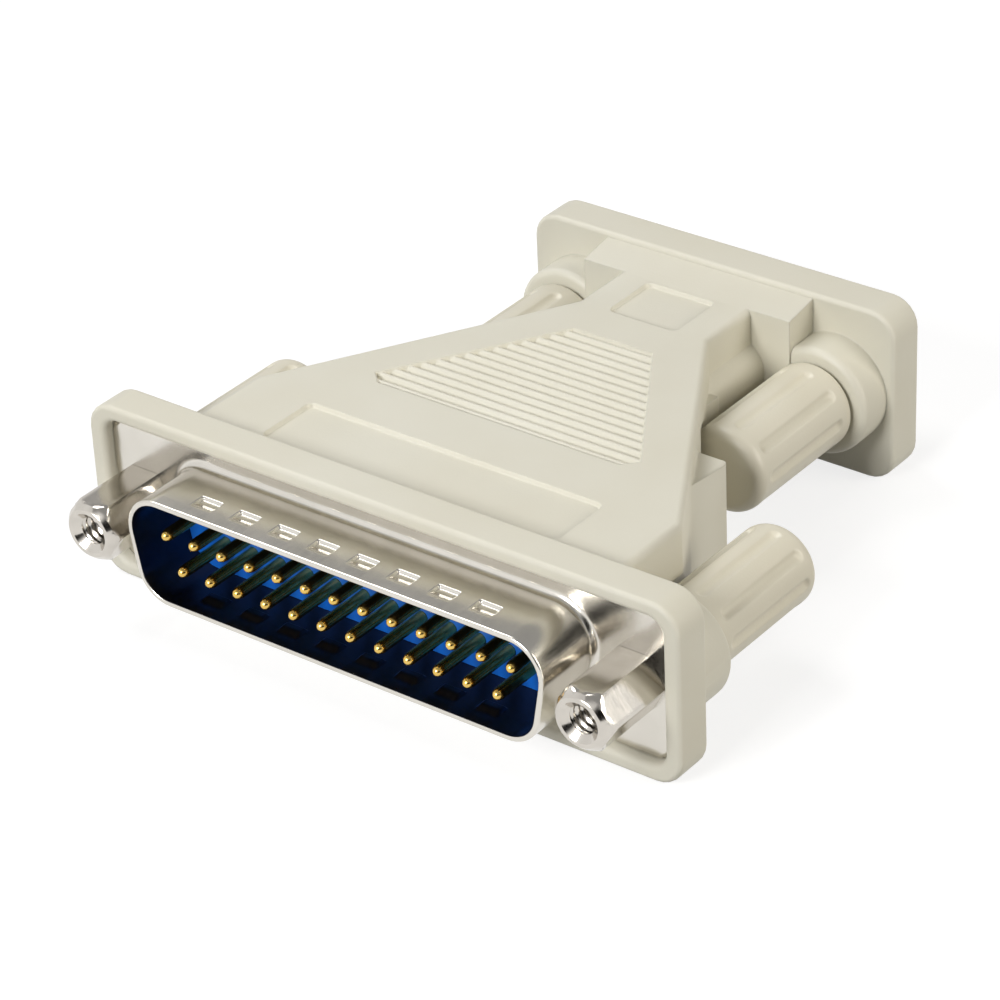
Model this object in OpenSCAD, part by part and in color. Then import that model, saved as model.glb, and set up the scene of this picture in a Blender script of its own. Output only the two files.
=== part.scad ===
// D-sub adapter: a moulded hood that joins a 25-way plug to a 9-way socket,
// with a pair of thumbscrews at each end. All sizes in millimetres.
// X runs along the width, Y from the plug end to the socket end, Z up.

/* [Hood] */
// Width of the flange at the plug end
flange_w = 56.4; // [55.6:0.2:60]
// Width of the flange at the socket end
flange9_w = 35.9; // [35.7:0.1:38]
// Height of both flanges
flange_h = 15.5; // [15.1:0.1:17]
// Thickness of the plug flange
flange_t = 3.5; // [3.2:0.1:4.5]
// Thickness of the socket flange
flange9_t = 3.8; // [3.2:0.1:4.5]
// Corner radius of both flanges seen from the end
flange_r = 2.4; // [1.4:0.1:3]
// Rounding along the flange edges
flange_edge = 0.4; // [0.3:0.1:1]
// Length of the hood between its two end faces
hood_l = 48.9; // [48:0.1:54]
// Thickness of the body between the flat top and bottom
body_h = 13.5; // [13:0.1:14.2]
// Width of the body where it leaves the plug flange
shoulder_w = 41.2; // [40.6:0.1:42.4]
// Distance from the plug end face to the start of the taper
shoulder_l = 11.4; // [10:0.1:13]
// Width of the neck at the socket end
neck_w = 12.9; // [12.4:0.1:13.6]
// Distance from the plug end face to the end of the taper
taper_l = 35.6; // [34:0.1:37]
// Rounding along the top and bottom edges of the body
body_edge = 0.6; // [0.2:0.1:1]
// Width of the rounded barrel below the neck
barrel_w = 15.4; // [15.2:0.1:16.4]
// Height of the rounded barrel below the neck
barrel_h = 8; // [7.2:0.1:9]

/* [Grip steps] */
// Height of the first pair of steps on the tapered sides
step1_h = 9.2; // [7:0.1:10]
// Width over the first pair of steps
step1_w = 32.4; // [30:0.1:33]
// Distance from the plug end face to the back of the first steps
step1_end = 23.8; // [22:0.1:25]
// Height of the second pair of steps
step2_h = 5.4; // [4:0.1:6]
// Width over the second pair of steps
step2_w = 16.4; // [15.8:0.1:16.6]
// Distance from the plug end face to the back of the second steps
step2_end = 34.4; // [32:0.1:36]

/* [Panels] */
// Width of the label recess
label_w = 28.4; // [20:0.2:34]
// Length of the label recess
label_l = 6.2; // [4:0.1:6.6]
// Depth of the label recess and the small recess
label_d = 0.35; // [0.2:0.05:0.5]
// Width of the ribbed panel at its front edge
panel_w = 25.8; // [20:0.2:27]
// Width of the ribbed panel at its back edge
panel_back_w = 7.8; // [6:0.2:9]
// Number of ribs on the ribbed panel
rib_count = 15; // [8:1:20]
// Depth of the grooves between the ribs
rib_d = 0.6; // [0.3:0.05:0.7]
// Width of the small recess on the neck
tab_w = 6.7; // [5:0.1:8]
// Length of the small recess on the neck
tab_l = 5.8; // [4:0.1:6]

/* [Connectors] */
// Spacing of the plug screws
screw_gap25 = 47.04; // [47:0.01:47.2]
// Spacing of the socket screws
screw_gap9 = 24.99; // [24.9:0.01:25.2]
// Reach of the plug plate beyond the centres of its screw holes
plate25_lug = 3; // [2.88:0.01:3.18]
// Reach of the socket plate beyond the centres of its screw holes
plate9_lug = 2.91; // [2.8:0.01:3.11]
// Height of both metal plates
plate_h = 12.55; // [12.3:0.05:12.8]
// Thickness of the shell sheet
shell_t = 0.45; // [0.4:0.05:0.5]
// Inside width of the plug skirt
plug_w = 38.96; // [38.8:0.02:39.1]
// Inside height of the plug skirt
plug_h = 8.36; // [8.2:0.02:8.5]
// Outside width of the socket skirt
socket_w = 16.33; // [16.1:0.01:16.6]
// Outside height of the socket skirt
socket_h = 7.9; // [7.8:0.02:8]
// Reach of the plug skirt in front of its plate
plug_reach = 6.2; // [5.6:0.1:6.6]
// Reach of the socket skirt in front of its plate
socket_reach = 6.1; // [5.6:0.1:6.6]
// Distance of both metal plates behind the hood end faces
plate_recess = 0.95; // [0.5:0.05:1.1]
// Distance between neighbouring contacts in a row
pitch = 2.76; // [2.74:0.01:2.77]
// Distance between the two rows of contacts
row_gap = 2.84; // [2.8:0.01:2.9]
// Radius of a plug pin
pin_r = 0.51; // [0.48:0.01:0.52]
// Distance of the pin tips behind the skirt edge
pin_setback = 0.3; // [0.2:0.1:0.8]

/* [Thumbscrews] */
// Radius of the grips at the plug end
grip25_r = 3.45; // [3.2:0.05:3.5]
// Radius of the grips at the socket end
grip9_r = 3.75; // [3.4:0.05:3.8]
// Length of all four grips
grip_l = 13.2; // [10:0.1:13.4]
// Number of grooves round each grip
groove_count = 9; // [6:1:12]
// Radius of the bosses behind the plug flange
boss25_r = 4.65; // [4:0.05:4.65]
// Radius of the bosses behind the socket flange
boss9_r = 4.8; // [4.4:0.1:5.3]
// Length of all four bosses
boss_l = 3.3; // [2.8:0.1:3.8]
// Radius of the screws
screw_r = 1.42; // [1.38:0.01:1.46]
// Reach of the bare screw ends beyond the socket end face
screw_reach = 5.2; // [5.2:0.1:7]
// Size of the hex nuts across the flats
nut_af = 4.8; // [4.6:0.05:5]
// Reach of the hex nuts beyond the plug end face
nut_reach = 5.96; // [5.8:0.02:7]
// Radius of the tapped holes in the hex nuts
tap_r = 1.15; // [1.1:0.01:1.25]

/* [Wires] */
// Radius of the insulated wires
wire_r = 0.4; // [0.3:0.02:0.42]

/* [Hidden] */
$fn = 64;
// running clearance of the screws in the hood
screw_play = 0.06;
// clearance between pieces that are fixed together
fixed_play = 0.02;
// clearance of the plates in their pockets
plate_play = 0.12;
// clearance of the rear shells in the hood
shell_play = 0.25;
// gap between a grip and its boss
grip_gap = 0.25;
// room for the fingers and the mould round a grip
grip_room = 0.4;
// gap between a hex nut and the metal plate
nut_gap = 0.12;
// depth that joined blocks run into each other
bite = 0.6;

// widths of the metal plates
plate25_w = screw_gap25 + 2 * plate25_lug;
plate9_w = screw_gap9 + 2 * plate9_lug;
// side slope of the D shape
d_slope = 10;
plug_r = 2.6;
socket_r = 2.4;
plate_r = 1.2;
hole_r = screw_r + 0.13;
// step of the insulator behind the front plate
lip = 0.5;
rear_reach = 3.6;
rear_depth = 4.2;
pocket_d = plate_recess + 2 * shell_t;
block_end = pocket_d + rear_depth;
face_lift = 0.3;

// contacts
body_r = 0.8;
cup_r = 0.95;
cup_l = 3.4;
cup_bore_r = wire_r + 0.06;
cup_bore_l = 2.6;
cup_end = block_end + cup_l;
wire_in = 1.8;
mouth_l = 0.6;
pin_dome = 0.4;

// thumbscrews
collar_r = 1.9;
collar_t = 0.8;
collar_play = 0.1;
collar_y = pocket_d + collar_play;
// plain neck of a screw where it passes the metal plates
neck_r = screw_r - 0.12;
neck_y = plate_recess - nut_gap;
head_r = 1.9;
head_l = 6;
head_cover = 1;
grip_edge = 1;
groove_r = 0.6;
groove_d = 0.28;
groove_end = 1.9;
nut_grip = 3;
tap_l = 3.2;
boss_edge = 0.6;

boss25_end = flange_t + boss_l;
boss9_end = flange9_t + boss_l;
neck_end = hood_l - flange9_t;
half = body_h / 2;

// row frame: the box of the whole object is centred over the origin
front_y = -nut_reach;
back_y = hood_l + max(screw_reach, socket_reach - plate_recess);
mid_y = (front_y + back_y) / 2;

pin_count = 25;
top_pins = 13;
socket_count = 9;
top_sockets = 5;
// plug pin wired to each socket contact, in order
wired_pins = [8, 3, 2, 20, 7, 6, 4, 5, 22];
// wire levels in the chamber
lane_play = 0.12;
lead_l = 1.2;
fan_l = 4.5;
drop_l = 3;
lane_gap = 2 * wire_r + lane_play;
lane_top = (socket_count - 1) / 2 * lane_gap;
chamber_z = lane_top + wire_r + 0.3;
// straight wire runs lap over each other at the bends
bend_lap = 0.15;

function pin_x(i) = i <= top_pins
    ? (i - (top_pins + 1) / 2) * pitch
    : (i - top_pins - (pin_count - top_pins + 1) / 2) * pitch;
function pin_z(i) = (i <= top_pins ? 1 : -1) * row_gap / 2;
function socket_x(i) = i <= top_sockets
    ? (i - (top_sockets + 1) / 2) * pitch
    : (i - top_sockets - (socket_count - top_sockets + 1) / 2) * pitch;
function socket_z(i) = (i <= top_sockets ? 1 : -1) * row_gap / 2;

function arc(c, r, a0, a1, n) = [for (k = [0:n]) let (a = a0 + (a1 - a0) * k / n)
    [c[0] + r * cos(a), c[1] + r * sin(a)]];
function round_rect(w, h, r) = concat(
    arc([w / 2 - r, h / 2 - r], r, 0, 90, 6),
    arc([r - w / 2, h / 2 - r], r, 90, 180, 6),
    arc([r - w / 2, r - h / 2], r, 180, 270, 6),
    arc([w / 2 - r, r - h / 2], r, 270, 360, 6));
// D outline with its wide side up
function d_shape(w, h, r) = let (s = (h - 2 * r) * tan(d_slope)) concat(
    arc([w / 2 - r, h / 2 - r], r, -d_slope, 90, 6),
    arc([r - w / 2, h / 2 - r], r, 90, 180 + d_slope, 6),
    arc([r + s - w / 2, r - h / 2], r, 180 + d_slope, 270, 6),
    arc([w / 2 - r - s, r - h / 2], r, 270, 360 - d_slope, 6));
function taper_x(y) = shoulder_w / 2
    - (y - shoulder_l) / (taper_l - shoulder_l) * (shoulder_w - neck_w) / 2;

module place() {
    translate([0, -mid_y, flange_h / 2]) children();
}

// same layout seen from the socket end face inwards
module socket_end() {
    translate([0, hood_l, 0]) mirror([0, 1, 0]) children();
}

// flat outline in X and Z drawn out along Y
module along_y(y0, y1) {
    translate([0, y1, 0]) rotate([90, 0, 0]) linear_extrude(y1 - y0) children();
}

module rod(x, z, r, y0, y1) {
    translate([x, y0, z]) rotate([-90, 0, 0]) cylinder(r = r, h = y1 - y0);
}

// profile of radius and distance turned about a line along Y
module turned(x, z) {
    translate([x, 0, z]) rotate([-90, 0, 0]) rotate_extrude() children();
}

module soft_plate(w, t) {
    hull() for (s = [0:3]) {
        inset = flange_edge * (1 - sin(30 * s));
        depth = flange_edge * (1 - cos(30 * s));
        along_y(depth, t - depth)
            polygon(round_rect(w - 2 * inset, flange_h - 2 * inset, flange_r - inset));
    }
}

// tapered body and neck share the same rounded edges
module soft_prism(x0, x1, x2, y0, y1, y2) {
    hull() for (s = [0:3]) {
        inset = body_edge * (1 - sin(30 * s));
        depth = body_edge * (1 - cos(30 * s));
        linear_extrude(body_h - 2 * depth, center = true) polygon([
            [x0 - inset, y0], [x1 - inset, y1], [x2 - inset, y2],
            [inset - x2, y2], [inset - x1, y1], [inset - x0, y0]]);
    }
}

module steps() {
    translate([-step1_w / 2, shoulder_l + bite, -step1_h / 2])
        cube([step1_w, step1_end - shoulder_l - bite, step1_h]);
    translate([-step2_w / 2, step1_end - bite, -step2_h / 2])
        cube([step2_w, step2_end - step1_end + bite, step2_h]);
}

// webs between the neck and the socket bosses, ramped up to the flange edge
module webs() {
    web_x = screw_gap9 / 2 - 2.3;
    web_y = neck_end - boss_l - 0.15;
    end_y = neck_end + flange_edge / 2;
    rise = (flange_h / 2 - half) * 0.6;
    translate([-web_x, 0, 0]) rotate([90, 0, 90]) linear_extrude(2 * web_x) polygon([
        [web_y, -half], [end_y, -half - rise], [end_y, half + rise], [web_y, half]]);
}

module boss(x, r, y0, y1, edge) {
    turned(x, 0) polygon(concat([[0, y0], [r, y0]],
        arc([r - edge, y1 - edge], edge, 0, 90, 6), [[0, y1]]));
}

module bosses() {
    for (s = [-1, 1]) {
        boss(s * screw_gap25 / 2, boss25_r, flange_t - bite, boss25_end, 0.4);
        socket_end() boss(s * screw_gap9 / 2, boss9_r, flange9_t - bite, boss9_end, boss_edge);
    }
}

module panel_recesses() {
    label_y = flange_t + 0.9;
    translate([-label_w / 2, label_y, half - label_d]) cube([label_w, label_l, label_d + 1]);
    tab_y = neck_end - 3.9 - tab_l;
    translate([-tab_w / 2, tab_y, half - label_d]) cube([tab_w, tab_l, label_d + 1]);
    ribbed_recess();
}

// recess with a wavy floor: a trapezoid cut to the rib profile
module ribbed_recess() {
    y0 = shoulder_l + 4.5;
    y1 = taper_l - 4.1;
    gap = (y1 - y0) / rib_count;
    crest = 0.12;
    corner = 1.2;
    intersection() {
        linear_extrude(half + 2) polygon([
            [-panel_w / 2 + corner, y0], [panel_w / 2 - corner, y0],
            [panel_w / 2, y0 + corner], [panel_back_w / 2, y1],
            [-panel_back_w / 2, y1], [-panel_w / 2, y0 + corner]]);
        translate([panel_w, 0, 0]) rotate([0, -90, 0]) linear_extrude(2 * panel_w)
            polygon(concat(
                [for (k = [0:6 * rib_count]) let (
                    t = k / 6,
                    w = pow(abs(cos(180 * t)), 3))
                    [half - crest - (rib_d - crest) * w, y0 + gap * t]],
                [[half + 1, y1], [half + 1, y0]]));
    }
}

module plug_cavity() {
    along_y(-1, pocket_d)
        polygon(round_rect(plate25_w + 2 * plate_play, plate_h + 2 * plate_play, plate_r + plate_play));
    g = 2 * (lip + shell_t + shell_play);
    along_y(pocket_d - 0.1, block_end + 0.1) polygon(d_shape(plug_w + g, plug_h + g, plug_r + g / 2));
    along_y(block_end, cup_end + 1) polygon(d_shape(plug_w, plug_h, plug_r));
}

module socket_cavity() {
    along_y(-1, pocket_d)
        polygon(round_rect(plate9_w + 2 * plate_play, plate_h + 2 * plate_play, plate_r + plate_play));
    g = 2 * (lip + shell_play);
    along_y(pocket_d - 0.1, block_end + 0.1)
        polygon(d_shape(socket_w + g, socket_h + g, socket_r + g / 2));
    along_y(block_end, cup_end + 1)
        polygon(round_rect(5 * pitch, row_gap + 2 * cup_r + 1, 1));
}

// wire chamber between the two connectors
module chamber() {
    wide = plug_w / 2 - 1.6;
    narrow = 2.5 * pitch;
    y0 = cup_end + 0.5;
    y1 = lane_end;
    linear_extrude(2 * chamber_z, center = true) polygon([
        [-wide, y0], [wide, y0], [narrow + 1.4, y1], [narrow, y1 + 1], [narrow, drop_end + 0.5],
        [-narrow, drop_end + 0.5], [-narrow, y1 + 1], [-narrow - 1.4, y1]]);
    along_y(drop_end, hood_l - cup_end) polygon(round_rect(2 * narrow, row_gap + 2 * cup_r + 1, 1));
}

// stations of the wires along Y
lane_start = cup_end + fan_l;
lane_end = 27 / 48.9 * hood_l;
drop_end = lane_end + drop_l;

module screw_bores() {
    for (s = [-1, 1]) {
        rod(s * screw_gap25 / 2, 0, screw_r + screw_play, -1, boss25_end + 1);
        rod(s * screw_gap25 / 2, 0, collar_r + collar_play, -1, collar_y + collar_t + collar_play);
        socket_end() {
            rod(s * screw_gap9 / 2, 0, screw_r + screw_play, -1, boss9_end + 1);
            rod(s * screw_gap9 / 2, 0, collar_r + collar_play, -1, collar_y + collar_t + collar_play);
        }
    }
}

// room round the grips cut into the sides of the body
module grip_reliefs() {
    for (s = [-1, 1]) {
        rod(s * screw_gap25 / 2, 0, grip25_r + grip_room, boss25_end, boss25_end + grip_gap + grip_l + 1);
        socket_end()
            rod(s * screw_gap9 / 2, 0, grip9_r + grip_room, boss9_end, boss9_end + grip_gap + grip_l + 0.8);
    }
}

module moulded_hood() {
    color("#d6d2c2") place() difference() {
        union() {
            soft_plate(flange_w, flange_t);
            socket_end() soft_plate(flange9_w, flange9_t);
            difference() {
                union() {
                    soft_prism(shoulder_w / 2, shoulder_w / 2, neck_w / 2,
                        flange_t - bite, shoulder_l, taper_l);
                    soft_prism(neck_w / 2, neck_w / 2, neck_w / 2,
                        step1_end, taper_l, neck_end + bite);
                    along_y(step2_end - bite, neck_end + bite)
                        polygon(round_rect(barrel_w, barrel_h, 2.6));
                    steps();
                }
                grip_reliefs();
            }
            webs();
            bosses();
        }
        for (m = [0, 1]) mirror([0, 0, m]) panel_recesses();
        plug_cavity();
        socket_end() socket_cavity();
        chamber();
        screw_bores();
    }
}

module plate(w, gap, y) {
    along_y(y, y + shell_t) difference() {
        polygon(round_rect(w, plate_h, plate_r));
        for (s = [-1, 1]) translate([s * gap / 2, 0]) circle(r = hole_r);
    }
}

// pressed marks that grip the mating skirt
module dimples(out) {
    mark_r = 0.9;
    mark_l = 2.4;
    press = 0.22;
    z = out ? plug_h / 2 + shell_t + mark_r - press : plug_h / 2 + mark_r - press;
    for (m = [0, 1]) mirror([0, 0, m]) for (k = [0:7])
        translate([(k - 3.5) * 1.38 * pitch - mark_l / 2, plate_recess - 0.65 * plug_reach, z])
            rotate([0, 90, 0]) cylinder(r = mark_r, h = mark_l, $fn = 24);
}

module plug_front_shell() {
    g = 2 * shell_t;
    flare = 0.7;
    color("#c9ccd0") place() difference() {
        union() {
            plate(plate25_w, screw_gap25, plate_recess);
            difference() {
                union() {
                    along_y(plate_recess - plug_reach, plate_recess + shell_t)
                        polygon(d_shape(plug_w + g, plug_h + g, plug_r + shell_t));
                    hull() {
                        along_y(plate_recess - flare, plate_recess)
                            polygon(d_shape(plug_w + g, plug_h + g, plug_r + shell_t));
                        along_y(plate_recess - 0.02, plate_recess) polygon(d_shape(
                            plug_w + g + 2 * flare, plug_h + g + 2 * flare, plug_r + shell_t + flare));
                    }
                }
                dimples(true);
            }
        }
        difference() {
            along_y(plate_recess - plug_reach - 1, plate_recess + shell_t + 1)
                polygon(d_shape(plug_w, plug_h, plug_r));
            dimples(false);
        }
    }
}

module rear_shell(plate_w, gap, w, h, r) {
    g = 2 * lip;
    difference() {
        union() {
            plate(plate_w, gap, plate_recess + shell_t);
            along_y(plate_recess + shell_t, pocket_d + rear_reach)
                polygon(d_shape(w + g + 2 * shell_t, h + g + 2 * shell_t, r + lip + shell_t));
        }
        along_y(plate_recess, pocket_d + rear_reach + 1) polygon(d_shape(w + g, h + g, r + lip));
    }
}

module plug_rear_shell() {
    color("#b9bcc0") place() rear_shell(plate25_w, screw_gap25, plug_w, plug_h, plug_r);
}

// nose inside the front shell and a step trapped behind its plate
module front_insulator(w, h, r, face_y) {
    g = -2 * fixed_play;
    along_y(face_y, plate_recess + 2 * shell_t) polygon(d_shape(w + g, h + g, r - fixed_play));
    along_y(plate_recess + shell_t, pocket_d)
        polygon(d_shape(w + g + 2 * lip, h + g + 2 * lip, r - fixed_play + lip));
}

module rear_insulator(w, h, r) {
    g = 2 * (lip - fixed_play);
    along_y(pocket_d, block_end) polygon(d_shape(w + g, h + g, r + lip - fixed_play));
}

module plug_front_insulator() {
    color("#1557b8") place() difference() {
        front_insulator(plug_w, plug_h, plug_r, plate_recess - face_lift);
        for (i = [1:pin_count]) rod(pin_x(i), pin_z(i), pin_r + fixed_play, -1, block_end);
    }
}

module plug_rear_insulator() {
    color("#1557b8") place() difference() {
        rear_insulator(plug_w, plug_h, plug_r);
        for (i = [1:pin_count]) rod(pin_x(i), pin_z(i), body_r + fixed_play, 0, block_end + 1);
    }
}

// pin with a domed tip, a wider body in the rear insulator and a solder cup
module plug_pin(i) {
    tip_y = plate_recess - plug_reach + pin_setback;
    color("#d9b25a") place() turned(pin_x(i), pin_z(i)) polygon(concat(
        [[0, tip_y]], arc([pin_r - pin_dome, tip_y + pin_dome], pin_dome, -90, 0, 4),
        [[pin_r, pocket_d], [body_r, pocket_d], [body_r, block_end], [cup_r, block_end],
         [cup_r, cup_end], [cup_bore_r, cup_end], [cup_bore_r, cup_end - cup_bore_l],
         [0, cup_end - cup_bore_l]]));
}

module socket_front_shell() {
    color("#c9ccd0") place() socket_end() difference() {
        union() {
            plate(plate9_w, screw_gap9, plate_recess);
            along_y(plate_recess - socket_reach, plate_recess + shell_t)
                polygon(d_shape(socket_w, socket_h, socket_r));
        }
        along_y(plate_recess - socket_reach - 1, plate_recess + shell_t + 1)
            polygon(d_shape(socket_w - 2 * shell_t, socket_h - 2 * shell_t, socket_r - shell_t));
    }
}

module socket_rear_shell() {
    color("#b9bcc0") place() socket_end() rear_shell(plate9_w, screw_gap9,
        socket_w - 2 * shell_t, socket_h - 2 * shell_t, socket_r - shell_t);
}

module socket_front_insulator() {
    face_y = plate_recess - socket_reach + 0.15;
    color("#1557b8") place() socket_end() difference() {
        front_insulator(socket_w - 2 * shell_t, socket_h - 2 * shell_t, socket_r - shell_t, face_y);
        for (i = [1:socket_count]) {
            rod(socket_x(i), socket_z(i), body_r + fixed_play, face_y + mouth_l, block_end);
            rod(socket_x(i), socket_z(i), pin_r + 0.1, face_y - 1, block_end);
        }
    }
}

module socket_rear_insulator() {
    color("#1557b8") place() socket_end() difference() {
        rear_insulator(socket_w - 2 * shell_t, socket_h - 2 * shell_t, socket_r - shell_t);
        for (i = [1:socket_count])
            rod(socket_x(i), socket_z(i), body_r + fixed_play, 0, block_end + 1);
    }
}

// sleeve that takes a pin of the mating plug, with a solder cup behind
module socket_contact(i) {
    open_y = plate_recess - socket_reach + 0.15 + mouth_l;
    color("#d9b25a") place() socket_end() turned(socket_x(i), socket_z(i)) polygon([
        [pin_r + 0.02, open_y], [body_r, open_y], [body_r, block_end], [cup_r, block_end],
        [cup_r, cup_end], [cup_bore_r, cup_end], [cup_bore_r, cup_end - cup_bore_l],
        [0, cup_end - cup_bore_l], [0, pocket_d], [pin_r + 0.02, pocket_d]]);
}

// each wire crosses the chamber on a level of its own
module wire(i) {
    p = wired_pins[i - 1];
    lane = ((socket_count + 1) / 2 - i) * lane_gap;
    route = [
        [pin_x(p), cup_end - wire_in, pin_z(p)], [pin_x(p), cup_end + lead_l, pin_z(p)],
        [pin_x(p), lane_start, lane], [socket_x(i), lane_end, lane],
        [socket_x(i), drop_end, socket_z(i)], [socket_x(i), hood_l - cup_end + wire_in, socket_z(i)]];
    for (k = [0:4]) {
        run = route[k + 1] - route[k];
        way = run / norm(run);
        near = k == 0 ? 0 : bend_lap;
        far = k == 4 ? 0 : bend_lap;
        translate(route[k] - way * near)
            rotate([0, acos(way[2]), atan2(way[1], way[0])])
                rotate([0, 0, 7 * k + 5]) cylinder(r = wire_r, h = norm(run) + near + far, $fn = 10);
    }
}

module wire_harness() {
    color("#7a8f3a") place() for (i = [1:socket_count]) wire(i);
}

// grip with round-ended grooves, moulded over the head of its screw
module grip(x, base, grip_r) {
    y0 = base + grip_gap;
    y1 = y0 + grip_l;
    difference() {
        turned(x, 0) polygon(concat([[0, y0], [grip_r - 0.3, y0], [grip_r, y0 + 0.3]],
            arc([grip_r - grip_edge, y1 - grip_edge], grip_edge, 0, 90, 6), [[0, y1]]));
        for (k = [0:groove_count - 1]) rotate_at(x, 360 * k / groove_count) {
            r = grip_r + groove_r - groove_d;
            rod(r, 0, groove_r, y0 + groove_end, y1 - groove_end);
            for (y = [y0 + groove_end, y1 - groove_end]) translate([r, y, 0]) sphere(r = groove_r, $fn = 24);
        }
        rod(x, 0, screw_r + fixed_play, y0 - 1, y0 + head_cover + 0.1);
        rod(x, 0, head_r + fixed_play, y0 + head_cover, y0 + head_cover + head_l);
    }
}

module rotate_at(x, a) {
    translate([x, 0, 0]) rotate([0, a, 0]) children();
}

// screw with a plain neck in the plates, a captive collar behind them and a head inside the grip
module screw(x, base, tip_y) {
    y0 = base + grip_gap + head_cover;
    turned(x, 0) polygon([[0, tip_y], [screw_r - 0.4, tip_y], [screw_r, tip_y + 0.4],
        [screw_r, neck_y], [neck_r, neck_y], [neck_r, collar_y], [collar_r, collar_y],
        [collar_r, collar_y + collar_t], [screw_r, collar_y + collar_t], [screw_r, y0],
        [head_r, y0], [head_r, y0 + head_l], [0, y0 + head_l]]);
}

// hex nut with a chamfered front and a countersunk tapped mouth
module nut(x) {
    y0 = -nut_reach;
    y1 = plate_recess - nut_gap;
    tip_r = nut_af / 2 - 0.3;
    full_r = nut_af / 2 / cos(30) + 0.1;
    difference() {
        intersection() {
            translate([x, y0, 0]) rotate([-90, 0, 0])
                cylinder(r = nut_af / 2 / cos(30), h = y1 - y0, $fn = 6);
            turned(x, 0) polygon([[0, y0], [tip_r, y0], [nut_af / 2, y0 + 0.35], [full_r, y0 + 0.9],
                [full_r, y1 + 1], [0, y1 + 1]]);
        }
        rod(x, 0, screw_r + fixed_play, y1 - nut_grip - 0.1, y1 + 1);
        rod(x, 0, tap_r, y0 - 1, y0 + tap_l);
        turned(x, 0) polygon([[0, y0 - 0.1], [tap_r + 0.5, y0 - 0.1], [tap_r, y0 + 0.5], [0, y0 + 0.5]]);
    }
}

nut_seat = plate_recess - nut_gap - nut_grip;

module plug_left_grip() { color("#cfc8b4") place() grip(-screw_gap25 / 2, boss25_end, grip25_r); }
module plug_right_grip() { color("#cfc8b4") place() grip(screw_gap25 / 2, boss25_end, grip25_r); }
module socket_left_grip() {
    color("#cfc8b4") place() socket_end() grip(-screw_gap9 / 2, boss9_end, grip9_r);
}
module socket_right_grip() {
    color("#cfc8b4") place() socket_end() grip(screw_gap9 / 2, boss9_end, grip9_r);
}
module plug_left_screw() { color("#b4b4b0") place() screw(-screw_gap25 / 2, boss25_end, nut_seat); }
module plug_right_screw() { color("#b4b4b0") place() screw(screw_gap25 / 2, boss25_end, nut_seat); }
module socket_left_screw() {
    color("#b4b4b0") place() socket_end() screw(-screw_gap9 / 2, boss9_end, -screw_reach);
}
module socket_right_screw() {
    color("#b4b4b0") place() socket_end() screw(screw_gap9 / 2, boss9_end, -screw_reach);
}
module plug_left_nut() { color("#c4c6c8") place() nut(-screw_gap25 / 2); }
module plug_right_nut() { color("#c4c6c8") place() nut(screw_gap25 / 2); }

moulded_hood();
plug_front_shell();
plug_rear_shell();
plug_front_insulator();
plug_rear_insulator();
for (i = [1:pin_count]) plug_pin(i);
socket_front_shell();
socket_rear_shell();
socket_front_insulator();
socket_rear_insulator();
for (i = [1:socket_count]) socket_contact(i);
wire_harness();
plug_left_grip();
plug_right_grip();
socket_left_grip();
socket_right_grip();
plug_left_screw();
plug_right_screw();
socket_left_screw();
socket_right_screw();
plug_left_nut();
plug_right_nut();
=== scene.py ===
import math

import bmesh
import bpy
from mathutils import Matrix, Vector


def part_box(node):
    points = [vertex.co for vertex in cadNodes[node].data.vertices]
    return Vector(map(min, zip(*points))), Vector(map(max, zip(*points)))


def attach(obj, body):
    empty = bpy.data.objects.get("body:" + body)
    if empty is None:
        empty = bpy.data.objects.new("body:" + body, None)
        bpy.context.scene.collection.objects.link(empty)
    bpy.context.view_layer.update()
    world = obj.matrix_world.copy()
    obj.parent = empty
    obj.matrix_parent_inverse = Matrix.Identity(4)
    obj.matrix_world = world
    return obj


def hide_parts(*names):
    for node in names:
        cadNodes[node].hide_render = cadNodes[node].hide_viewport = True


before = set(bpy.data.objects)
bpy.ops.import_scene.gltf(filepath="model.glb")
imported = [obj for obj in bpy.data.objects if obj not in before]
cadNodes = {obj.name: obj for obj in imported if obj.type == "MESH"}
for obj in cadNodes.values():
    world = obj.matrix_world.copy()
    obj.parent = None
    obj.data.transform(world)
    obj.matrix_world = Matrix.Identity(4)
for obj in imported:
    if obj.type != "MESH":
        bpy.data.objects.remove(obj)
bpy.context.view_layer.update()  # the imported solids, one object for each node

scene = bpy.context.scene
mm = 0.001
weldGap = 2e-6  # metres, far below any real edge
screwGap = {"plug": 47.04, "socket": 24.99}  # standard distance between the two screws of an end
topRow = {"plug": 13, "socket": 5}  # contacts in the upper row

hoodLow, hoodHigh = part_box("moulded_hood")
faceY = hoodLow.y / mm  # plug end face of the hood
hoodLength = (hoodHigh.y - hoodLow.y) / mm
axisZ = (hoodLow.z + hoodHigh.z) / 2 / mm  # height of both connector axes


def at(x, y, z):  # millimetres from the plug end face and the connector axis
    return Vector((x, y + faceY, z + axisZ)) * mm


def atSocket(x, y, z):  # the same, counted inwards from the socket end face
    return at(x, hoodLength - y, z)


# camera

cameraSetup = {
    "eye": (161.006, -211.170, 163.741),  # millimetres in the shared frame
    "azimuth": 38.409,
    "elevation": 31.093,
    "roll": -2.765,
    "lens": 139.178,
    "sensor": 36,
    "nearest": 0.01,  # metres
}


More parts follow.
